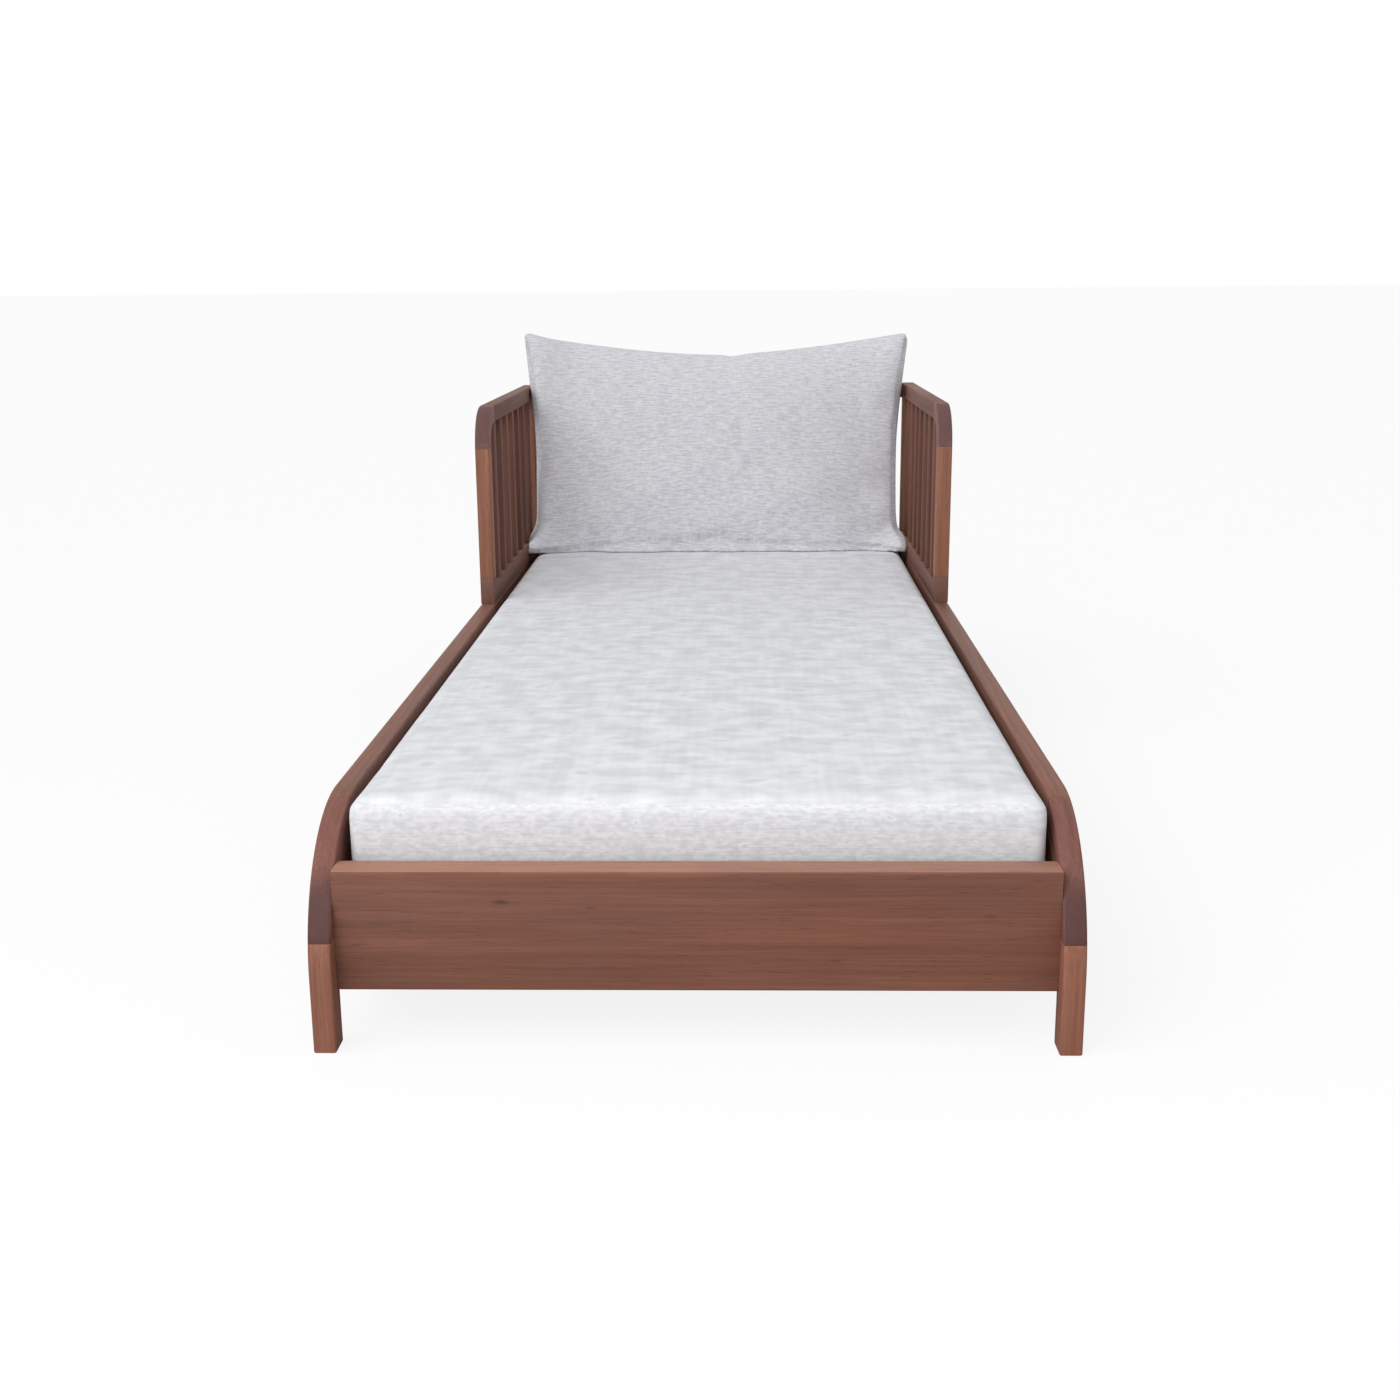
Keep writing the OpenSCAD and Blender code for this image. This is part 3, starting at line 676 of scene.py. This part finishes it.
def lots(node):
    """The boxes of a node's separate solids, each as its lowest and highest corner."""
    mesh = bmesh.new()
    mesh.from_mesh(nodes[node].data)
    bmesh.ops.remove_doubles(mesh, verts=mesh.verts, dist=merge_reach)
    boxes = []
    waiting = set(mesh.verts)
    while waiting:
        group, ends = set(), [waiting.pop()]
        while ends:
            vertex = ends.pop()
            group.add(vertex)
            linked = {edge.other_vert(vertex) for edge in vertex.link_edges} & waiting
            waiting -= linked
            ends += linked
        places = list(zip(*(vertex.co for vertex in group)))
        boxes.append((Vector(map(min, places)), Vector(map(max, places))))
    mesh.free()
    return sorted(boxes, key=lambda box: tuple(box[0]))


def cut_away(piece, tool):
    """Cuts the tool's shape out of the piece, and removes the tool."""
    only(piece)
    cutter = piece.modifiers.new("cutter", "BOOLEAN")
    cutter.operation = "DIFFERENCE"
    cutter.solver = "EXACT"
    cutter.object = tool
    bpy.ops.object.modifier_apply(modifier=cutter.name)
    bpy.data.objects.remove(tool)


nut_play = 0.0001
hole_overrun = 0.002
front_board = stick(front_low, front_high, axis_x)
for low, high in lots("barrel_nuts"):
    if low.y < 0:
        middle = (low + high) / 2
        reach = front_high.y - low.y + hole_overrun
        bpy.ops.object.select_all(action="DESELECT")
        bpy.ops.mesh.primitive_cylinder_add(
            vertices=32,
            radius=(high.x - low.x) / 2 + nut_play,
            depth=reach,
            location=(middle.x, low.y + reach / 2, middle.z),
            rotation=(pi / 2, 0, 0),
        )
        cut_away(front_board, bpy.context.object)
finished(front_board, "front_board_piece", front_wood, "board_wood", "front_board")
for side in ("left", "right"):
    nodes["side_board_" + side].material_slots[0].material = board_wood
nodes["rear_board"].material_slots[0].material = rear_wood

# Gallery slats: seven in each arm and nine in the back, thin planed slats whose ends sit in
# pockets in the rails. One is made, and the rest are copies of it.
slat_face = 0.030


def slat_row(node, count, along, name):
    """One slat at the first place of a node's row, copied along x or y, as one piece."""
    low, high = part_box(node)
    axis = 0 if along is axis_x else 1
    size = high - low
    size[axis] = slat_face
    pitch = (high[axis] - low[axis] - slat_face) / (count - 1)
    gap_start = low[axis] - (pitch - slat_face) / 2
    wood = timber(
        name + "_timber", axis_z, (140, 95, 79), (84, 56, 47), (0.70, 0.35, 0),
        rings=140, row=(along, gap_start, pitch),
    )
    first = stick(low, low + size, axis_z)
    row = [first]
    for k in range(1, count):
        only(first)
        bpy.ops.object.duplicate()
        copy = bpy.context.object
        copy.location[axis] = k * pitch
        row.append(copy)
    bpy.ops.object.select_all(action="DESELECT")
    for piece in row:
        piece.select_set(True)
    bpy.context.view_layer.objects.active = first
    bpy.ops.object.transform_apply(location=True, rotation=False, scale=False)
    bpy.ops.object.join()
    return finished(first, name, wood, "slat_wood", node)


slat_row("arm_slats_left", 7, axis_y, "arm_slats_piece_left")
slat_row("arm_slats_right", 7, axis_y, "arm_slats_piece_right")
slat_row("back_slats", 9, axis_x, "back_slats_piece")

# Deck: two ledgers screwed inside the side boards, and fourteen cross slats screwed down to
# them, planed and left without oil, so they are paler than the frame.
deck_low, deck_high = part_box("deck_slats")
deck_count = 14
deck_face = 0.070
deck_pitch = (deck_high.y - deck_low.y - deck_face) / (deck_count - 1)
bare_end = (150, 112, 86)
ledger_wood = timber(
    "ledger_timber", axis_y, (186, 146, 116), (150, 110, 84), (0.1, 0, 0), rings=120, cut=bare_end
)
deck_wood = timber(
    "deck_timber", axis_x, (192, 152, 122), (152, 112, 86), (0, 0.1, -0.3), rings=120, cut=bare_end,
    row=(axis_y, deck_low.y - (deck_pitch - deck_face) / 2, deck_pitch),
)
for side in ("left", "right"):
    nodes["slat_ledger_" + side].material_slots[0].material = ledger_wood
nodes["deck_slats"].material_slots[0].material = deck_wood

# Dowels: plain beech pins, glued in the frame's joints, half their length in each piece. They are
# out of sight once it is put together, and keep their solids.
beech = timber("beech_dowel", axis_z, (214, 180, 132), (190, 152, 104), (0.3, 0.3, 0), rings=200)
nodes["frame_dowels"].material_slots[0].material = beech

# Bolts and screws: stainless steel. The bolts that hold the boards have low round heads with a
# hexagon socket. The wood screws have sunk flat heads with a crossed slot.
steel, place = new_material("brushed_steel")
speck = place.add("ShaderNodeTexNoise", inputs={"Vector": place, "Scale": 900.0, "Detail": 2.0})
dress(
    steel,
    Base_Color=speck.pick(tone(168, 171, 175), tone(200, 203, 207)),
    Metallic=1.0,
    Roughness=speck.span(*usual, 0.28, 0.42),
)
nodes["barrel_nuts"].material_slots[0].material = steel


def set_of(first, places, name, node):
    """Copies of the first piece, each turned and moved to its place, as one finished piece."""
    copies = []
    for turn in places:
        only(first)
        bpy.ops.object.duplicate()
        copy = bpy.context.object
        copy.data.transform(turn)
        copies.append(copy)
    bpy.data.objects.remove(first)
    bpy.ops.object.select_all(action="DESELECT")
    for copy in copies:
        copy.select_set(True)
    bpy.context.view_layer.objects.active = copies[0]
    bpy.ops.object.join()
    return finished(copies[0], name, steel, "fixing_steel", node)


# A bolt stands at the origin with its head's face up. Its head is bevelled, and its socket is cut.
bolt_boxes = lots("board_bolts")
bolt_low, bolt_high = bolt_boxes[0]
bolt_head_r = (bolt_high.z - bolt_low.z) / 2
bolt_r = 0.003
bolt_head_t = 0.003
head_ease = 0.0008
tip_ease = 0.0006
socket_r = 0.0024
socket_deep = 0.0022
bpy.ops.object.select_all(action="DESELECT")
bpy.ops.mesh.primitive_cylinder_add(
    vertices=32, radius=bolt_head_r, depth=bolt_head_t, location=(0, 0, -bolt_head_t / 2)
)
bolt = bpy.context.object
bpy.ops.object.transform_apply(location=True)
bpy.ops.object.mode_set(mode="EDIT")
choose("EDGE", lambda middle, way: middle.z > -head_ease / 2 and abs(way.z) < 0.1)
bpy.ops.mesh.bevel(offset=head_ease, segments=3, affect="EDGES")
choose("FACE", lambda middle, way: way.z < -0.9)
bpy.ops.mesh.inset(thickness=bolt_head_r - bolt_r)
shank = bolt_high.x - bolt_low.x - bolt_head_t
bpy.ops.mesh.extrude_region_move(TRANSFORM_OT_translate={"value": (0, 0, -shank)})
bpy.ops.mesh.bevel(offset=tip_ease, segments=1, affect="EDGES")
bpy.ops.object.mode_set(mode="OBJECT")
bpy.ops.object.select_all(action="DESELECT")
bpy.ops.mesh.primitive_cylinder_add(vertices=6, radius=socket_r, depth=2 * socket_deep)
cut_away(bolt, bpy.context.object)
bolt_places = []
for low, high in bolt_boxes:
    middle = (low + high) / 2
    outer = high.x if middle.x > 0 else low.x
    turn = Matrix.Rotation(pi / 2 if middle.x > 0 else -pi / 2, 4, "Y")
    bolt_places.append(Matrix.Translation((outer, middle.y, middle.z)) @ turn)
set_of(bolt, bolt_places, "board_bolts_piece", "board_bolts")

# A screw stands at the origin with its head's face up.
slot_w = 0.0009
slot_l = 0.0044
slot_deep = 0.0014
head_rim = 0.0002


def wood_screw(length, head_r):
    """A countersunk wood screw with a crossed slot: its rim, head, shank and point, going down."""
    head_t = head_r * 0.6
    point = length * 0.2
    bpy.ops.object.select_all(action="DESELECT")
    bpy.ops.mesh.primitive_cylinder_add(
        vertices=24, radius=head_r, depth=head_rim, location=(0, 0, -head_rim / 2)
    )
    screw = bpy.context.object
    bpy.ops.object.transform_apply(location=True)
    bpy.ops.object.mode_set(mode="EDIT")
    choose("FACE", lambda middle, way: way.z < -0.9)
    shank = length - point - head_t
    for drop, factor in ((head_t, 0.5), (shank, 1.0), (point - head_rim, 0.1)):
        bpy.ops.mesh.extrude_region_move(TRANSFORM_OT_translate={"value": (0, 0, -drop)})
        bpy.ops.transform.resize(value=(factor, factor, 1))
    bpy.ops.object.mode_set(mode="OBJECT")
    for size in ((slot_w, slot_l), (slot_l, slot_w)):
        half = Vector((size[0] / 2, size[1] / 2, slot_deep))
        cut_away(screw, block_between(-half, half))
    return screw


for node, facing in (("deck_screws", axis_z), ("ledger_screws", axis_x)):
    boxes = lots(node)
    low, high = boxes[0]
    length = (high - low).dot(facing)
    head_r = (high.y - low.y) / 2
    places = []
    for low, high in boxes:
        middle = (low + high) / 2
        if facing is axis_z:
            places.append(Matrix.Translation((middle.x, middle.y, high.z)))
        else:
            inner = low.x if middle.x > 0 else high.x
            turn = Matrix.Rotation(-pi / 2 if middle.x > 0 else pi / 2, 4, "Y")
            places.append(Matrix.Translation((inner, middle.y, middle.z)) @ turn)
    set_of(wood_screw(length, head_r), places, node + "_piece", node)


# Mattress: a foam block in a fitted cover of slubby outdoor cloth, light grey with short darker
# dashes along its rows. It lies loose on the deck between the side frames. Its edges are soft,
# its sides draw in between the corners, and its cover is a little loose over the top.
def cloth_finish(name, light, dark, thread, dashes, tufts):
    """
    The cover's cloth, on the piece's own map, whose first measure runs across the bed. Its light
    and dark tones mix in dashes along the rows, so many to the metre, with darker threads between
    them. tufts is how strongly it is mottled where it looks up.
    """
    material, place = new_material(name)
    flat = place.add("ShaderNodeUVMap")
    across = flat.add("ShaderNodeSeparateXYZ", inputs={0: flat})
    rows = across.output("Y")

    def woven(across_rate, row_rate, shift, detail):
        """Noise with its own fineness across the bed and over the rows, per metre."""
        spot = {0: across * across_rate, 1: rows * row_rate, 2: shift}
        spot = flat.add("ShaderNodeCombineXYZ", inputs=spot)
        inputs = {"Vector": spot, "Scale": 1.0, "Detail": detail, "Roughness": 0.5}
        return flat.add("ShaderNodeTexNoise", inputs=inputs)

    dash = woven(dashes, 230, 0.0, 1.0)
    short = woven(90, 420, 7.0, 1.0)
    rib = woven(420, 60, 3.0, 0.0)
    wide = woven(110, 50, 11.0, 1.0)
    cloud = woven(6, 6, 5.0, 2.0)
    tuft = woven(75, 170, 17.0, 0.0).span(0.36, 0.64) - 0.5
    looks_up = place.output("Normal").dot(axis_z).span(0.6, 0.95)
    depth = (
        dash.span(0.36, 0.64) * 0.45
        + short.span(*usual) * 0.25
        + rib.span(*usual) * 0.15
        + wide.span(0.2, 0.8) * 0.15
        + tuft * looks_up * tufts
    )
    colour = depth.pick(tone(*dark), tone(*light))
    colour = dash.span(0.64, 0.8, 0.0, 0.4).pick(colour, tone(*thread))
    colour = cloud.span(*usual, 0.0, 0.04).pick(colour, tone(*dark))
    height = dash * 0.6 + short * 0.4 + rib * 0.35
    bump = {"Strength": 0.5, "Distance": 0.0012, "Height": height}
    dress(
        material,
        Base_Color=colour,
        Roughness=0.92,
        Specular_IOR_Level=0.12,
        Sheen_Weight=0.12,
        Normal=flat.add("ShaderNodeBump", inputs=bump),
    )
    return material


def lay_map(piece):
    """A map in metres, its rows across the bed, or along it on faces that look left or right."""
    side_facing = 0.75
    chart = piece.data.uv_layers.new(name="cloth")
    for face in piece.data.polygons:
        on_side = abs(face.normal.x) > side_facing
        for corner in face.loop_indices:
            p = piece.data.vertices[piece.data.loops[corner].vertex_index].co
            chart.data[corner].uv = (p.y, p.z) if on_side else (p.x, p.y + p.z)


def sliced(piece, spacing):
    """Cuts a block into even squares, by planes across x, y and z."""
    only(piece)
    places = list(zip(*(vertex.co for vertex in piece.data.vertices)))
    bpy.ops.object.mode_set(mode="EDIT")
    for way, along in zip((axis_x, axis_y, axis_z), places):
        low, size = min(along), max(along) - min(along)
        count = round(size / spacing)
        for step in range(1, count):
            bpy.ops.mesh.select_all(action="SELECT")
            bpy.ops.mesh.bisect(plane_co=way * (low + size * step / count), plane_no=way)
    bpy.ops.object.mode_set(mode="OBJECT")


def swollen(piece, pressure, cap, share, shrink=0.0):
    """Swells a closed cover by air pressure: each point by up to cap, with its share each way."""
    swell_frames = 20
    before = [v.co.copy() for v in piece.data.vertices]
    only(piece)
    cover = piece.modifiers.new("cover", "CLOTH")
    cover.settings.use_pressure = True
    cover.settings.uniform_pressure_force = pressure
    cover.settings.shrink_min = shrink
    cover.settings.effector_weights.gravity = 0
    for step in range(1, swell_frames + 1):
        bpy.context.scene.frame_set(step)
    bpy.ops.object.modifier_apply(modifier=cover.name)
    bpy.context.scene.frame_set(1)
    for vertex, old in zip(piece.data.vertices, before):
        move = (vertex.co - old) * share
        vertex.co = old + move * min(1.0, cap / max(move.length, cap))


def subdivided(piece, levels):
    """Smooths a cover, each of its faces cut in four at each level."""
    only(piece)
    finer = piece.modifiers.new("finer", "SUBSURF")
    finer.levels = finer.render_levels = levels
    bpy.ops.object.modifier_apply(modifier=finer.name)


def cushion(piece, name, body, node, cloth):
    """Names a soft piece, gives it its cloth and its body, and hides its node."""
    only(piece)
    piece.name = name
    piece.data.materials.clear()
    piece.data.materials.append(cloth)
    bpy.ops.object.shade_smooth()
    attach(piece, body)
    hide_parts(node)


mattress_low, mattress_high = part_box("mattress")
mattress_room = Vector((0, 0.001, 0.0))
mattress_plan_round = 0.016
mattress_edge_round = 0.022
mattress_draw = 0.001
mattress_crown = 0.003
mattress_cell = 0.016
mattress_pressure = 2.0
mattress_swell = 0.003
mattress_share = Vector((0.2, 0.5, 1.0))
mattress_form = block_between(
    mattress_low + mattress_room, mattress_high - mattress_room - Vector((0, 0, mattress_crown))
)
rounded(mattress_form, mattress_plan_round, lambda middle, way: abs(way.z) > 0.9)
rounded(mattress_form, mattress_edge_round, lambda middle, way: abs(way.z) < 0.1)
sliced(mattress_form, mattress_cell)

# Its sides are drawn in and its top is crowned. The swelling then goes mostly up and down, since
# the side frames hold it, and its underside stays flat on the deck.
mattress_middle = (mattress_low + mattress_high) / 2
half = (mattress_high - mattress_low) / 2
for vertex in mattress_form.data.vertices:
    off = vertex.co - mattress_middle
    share_x, share_y = off.x / half.x, off.y / half.y
    vertex.co.x -= mattress_draw * share_x * (1 - share_y * share_y)
    vertex.co.y -= mattress_draw * share_y * (1 - share_x * share_x)
    if off.z > 0:
        vertex.co.z += mattress_crown * (1 - share_x * share_x) * (1 - share_y * share_y)
swollen(mattress_form, mattress_pressure, mattress_swell, mattress_share)
for vertex in mattress_form.data.vertices:
    vertex.co.z = max(vertex.co.z, mattress_low.z)
subdivided(mattress_form, 1)
lay_map(mattress_form)
mattress_cloth = cloth_finish(
    "mattress_cloth", (240, 241, 244), (212, 213, 217), (184, 184, 190), dashes=64, tufts=0.16
)
cushion(mattress_form, "mattress_pad", "mattress", "mattress", mattress_cloth)

# Pillow: two panels sewn round a fibre filling, full in the middle and pointed at the upper
# corners. It stands on the mattress and leans on the back. Its lower corners are pushed out
# sideways into plump lobes, each behind a crease, and a few shallow folds run in from the seams.
pillow_low, pillow_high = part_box("pillow")
pillow_pressure = 4.0
pillow_swell = 0.005
pillow_slack = -0.03

# The solid's form is copied, without the marks that make it one of the frame's nodes, and is
# then merged, smoothed and filled.
only(nodes["pillow"])
bpy.ops.object.duplicate()
pillow_form = bpy.context.object
pillow_form.parent = None
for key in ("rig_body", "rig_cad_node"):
    del pillow_form[key]
bpy.ops.object.mode_set(mode="EDIT")
bpy.ops.mesh.select_all(action="SELECT")
bpy.ops.mesh.remove_doubles(threshold=merge_reach)
bpy.ops.mesh.tris_convert_to_quads()
bpy.ops.object.mode_set(mode="OBJECT")
subdivided(pillow_form, 2)
swollen(pillow_form, pillow_pressure, pillow_swell, axis_y, shrink=pillow_slack)
subdivided(pillow_form, 1)


def hill(away, reach):
    """A smooth hill, 1 high in the middle and gone at twice its reach."""
    return exp(-((away / reach) ** 2))


def folds(p):
    """Shallow folds in the front panel, between about -1.5 and 1.5."""
    slow = sin(p.x * 19 + 3 * sin(p.z * 9)) * sin(p.z * 23 + 1)
    return slow + 0.5 * sin(p.x * 47 + p.z * 31)


def rucks(x):
    """How the fullness of the pillow's foot comes and goes across it, round 1."""
    return 1 + 0.2 * sin(x * 31 + 1) + 0.15 * sin(x * 73)


# Each place of the form is moved by the hills near it: a middle, a reach and a move. The other
# moves have a size and a reach, for the top, the sides (left, then right) and the foot. Nothing
# sinks into the mattress or the back, or comes nearer to the arms than a small gap.
pillow_moves = (
    ((-0.412, 0.885, 0.304), 0.030, (-0.012, -0.018, 0.002)),
    ((0.404, 0.885, 0.302), 0.030, (0.015, -0.020, 0.002)),
    ((-0.390, 0.880, 0.345), 0.030, (0.002, 0.006, 0)),
    ((0.380, 0.880, 0.340), 0.030, (0, 0.008, 0)),
    ((-0.384, 0.870, 0.302), 0.012, (0, 0.007, 0)),
    ((0.378, 0.870, 0.306), 0.012, (0, 0.009, 0)),
    ((0.404, 0.895, 0.338), 0.012, (-0.007, 0.005, 0)),
    ((0.381, 0.930, 0.606), 0.028, (0, 0.007, 0)),
    ((0.377, 0.900, 0.442), 0.036, (0, 0.006, 0)),
    ((0.035, 0.990, 0.722), 0.022, (0, 0, -0.006)),
    ((-0.434, 0.990, 0.757), 0.045, (0.001, 0, 0.006)),
    ((-0.434, 0.994, 0.762), 0.010, (0.006, 0, -0.005)),
    ((0.428, 0.994, 0.760), 0.012, (-0.008, 0, -0.004)),
)
pillow_top_lift, pillow_top_reach = 0.007, 0.08
pillow_side_push, pillow_side_reach = (-0.0045, 0.002), 0.05
pillow_side_fill, pillow_fill_reach = (0.032, 0.022), 0.055
pillow_foot_push, pillow_foot_reach = 0.022, 0.022
pillow_edge_x = 0.42
pillow_full_x = 0.405
pillow_wave = 0.0025
arm_gap = 0.0005
arm_top = arm_high.z + 0.002
fronts = [max(0.0, -vertex.normal.y) for vertex in pillow_form.data.vertices]
for vertex, front in zip(pillow_form.data.vertices, fronts):
    p = vertex.co.copy()
    right = int(p.x > 0)
    move = Vector((0, 0, 0))
    for middle, reach, way in pillow_moves:
        move += Vector(way) * hill((p - Vector(middle)).length, reach)
    move.y += pillow_wave * front * folds(p)
    move.z += pillow_top_lift * hill(pillow_high.z - p.z, pillow_top_reach)
    move.x += pillow_side_push[right] * hill(pillow_edge_x - abs(p.x), pillow_side_reach)
    move.y -= pillow_side_fill[right] * front * hill(abs(p.x) - pillow_full_x, pillow_fill_reach)
    foot = hill(p.z - pillow_low.z, pillow_foot_reach)
    move.y -= pillow_foot_push * front * rucks(p.x) * foot
    p += move
    p.z = max(p.z, pillow_low.z)
    p.y = min(p.y, pillow_high.y)
    if p.z < arm_top:
        room = rail_low.x - arm_gap
        p.x = max(-room, min(room, p.x))
    vertex.co = p
lay_map(pillow_form)
pillow_cloth = cloth_finish(
    "pillow_cloth", (242, 242, 246), (196, 196, 202), (158, 158, 166), dashes=38, tufts=0.0
)
cushion(pillow_form, "pillow_pad", "pillow", "pillow", pillow_cloth)

low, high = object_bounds()
